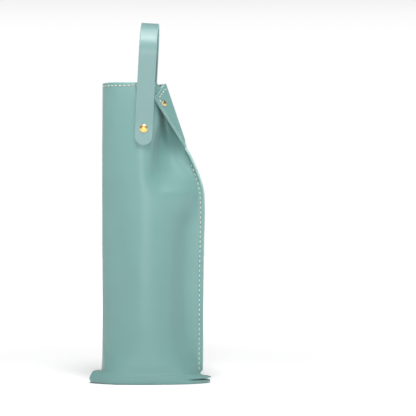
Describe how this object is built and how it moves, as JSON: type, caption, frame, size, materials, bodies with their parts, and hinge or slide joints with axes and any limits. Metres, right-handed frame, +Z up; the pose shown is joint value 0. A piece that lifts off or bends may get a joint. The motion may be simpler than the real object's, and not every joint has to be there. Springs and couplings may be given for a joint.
{
  "type": "wine gift bag",
  "caption": "Soft leather gift bag for one bottle, with a stitched side seam, folded top corner, boxed base and a riveted strap handle.",
  "frame": {"origin": "middle of the underside of the bag, on the table", "axes": "+X to the right, towards the stitched side seam; +Y to the back; +Z up"},
  "size_m": [0.1236, 0.0654, 0.3698],
  "materials": {
    "sage_leather": "smooth matt coated leather, grey green",
    "facing_leather": "the same leather, its plain back turned in",
    "strap_leather": "smooth matt coated leather with sealed edges",
    "thread": "off-white polyester thread",
    "rivet_brass": "polished brass"
  },
  "bodies": {
    "bag": {"body_sheet": "sage_leather", "mouth_facing": "facing_leather", "rim_stitching": "thread", "side_seam_stitching": "thread", "front_rivet_cap": "rivet_brass", "front_rivet_post": "rivet_brass", "rear_rivet_cap": "rivet_brass", "rear_rivet_post": "rivet_brass"},
    "corner": {"folded_corner": "sage_leather", "corner_stitching": "thread", "corner_rivet_cap": "rivet_brass", "corner_rivet_post": "rivet_brass"},
    "handle": {"strap_face": "strap_leather", "strap_backing": "strap_leather"}
  },
  "joints": [
    {"name": "handle_swing", "type": "hinge", "parent": "bag", "child": "handle", "pos_m": [-0.0054, 0, 0.26], "axis": [0, 1, 0], "range_deg": [-123.1, 116.9]},
    {"name": "corner_fold", "type": "hinge", "parent": "bag", "child": "corner", "pos_m": [0.0138, -0.0014, 0.307], "axis": [0.3214, 0, -0.9469], "range_deg": [-128, 0]}
  ]
}
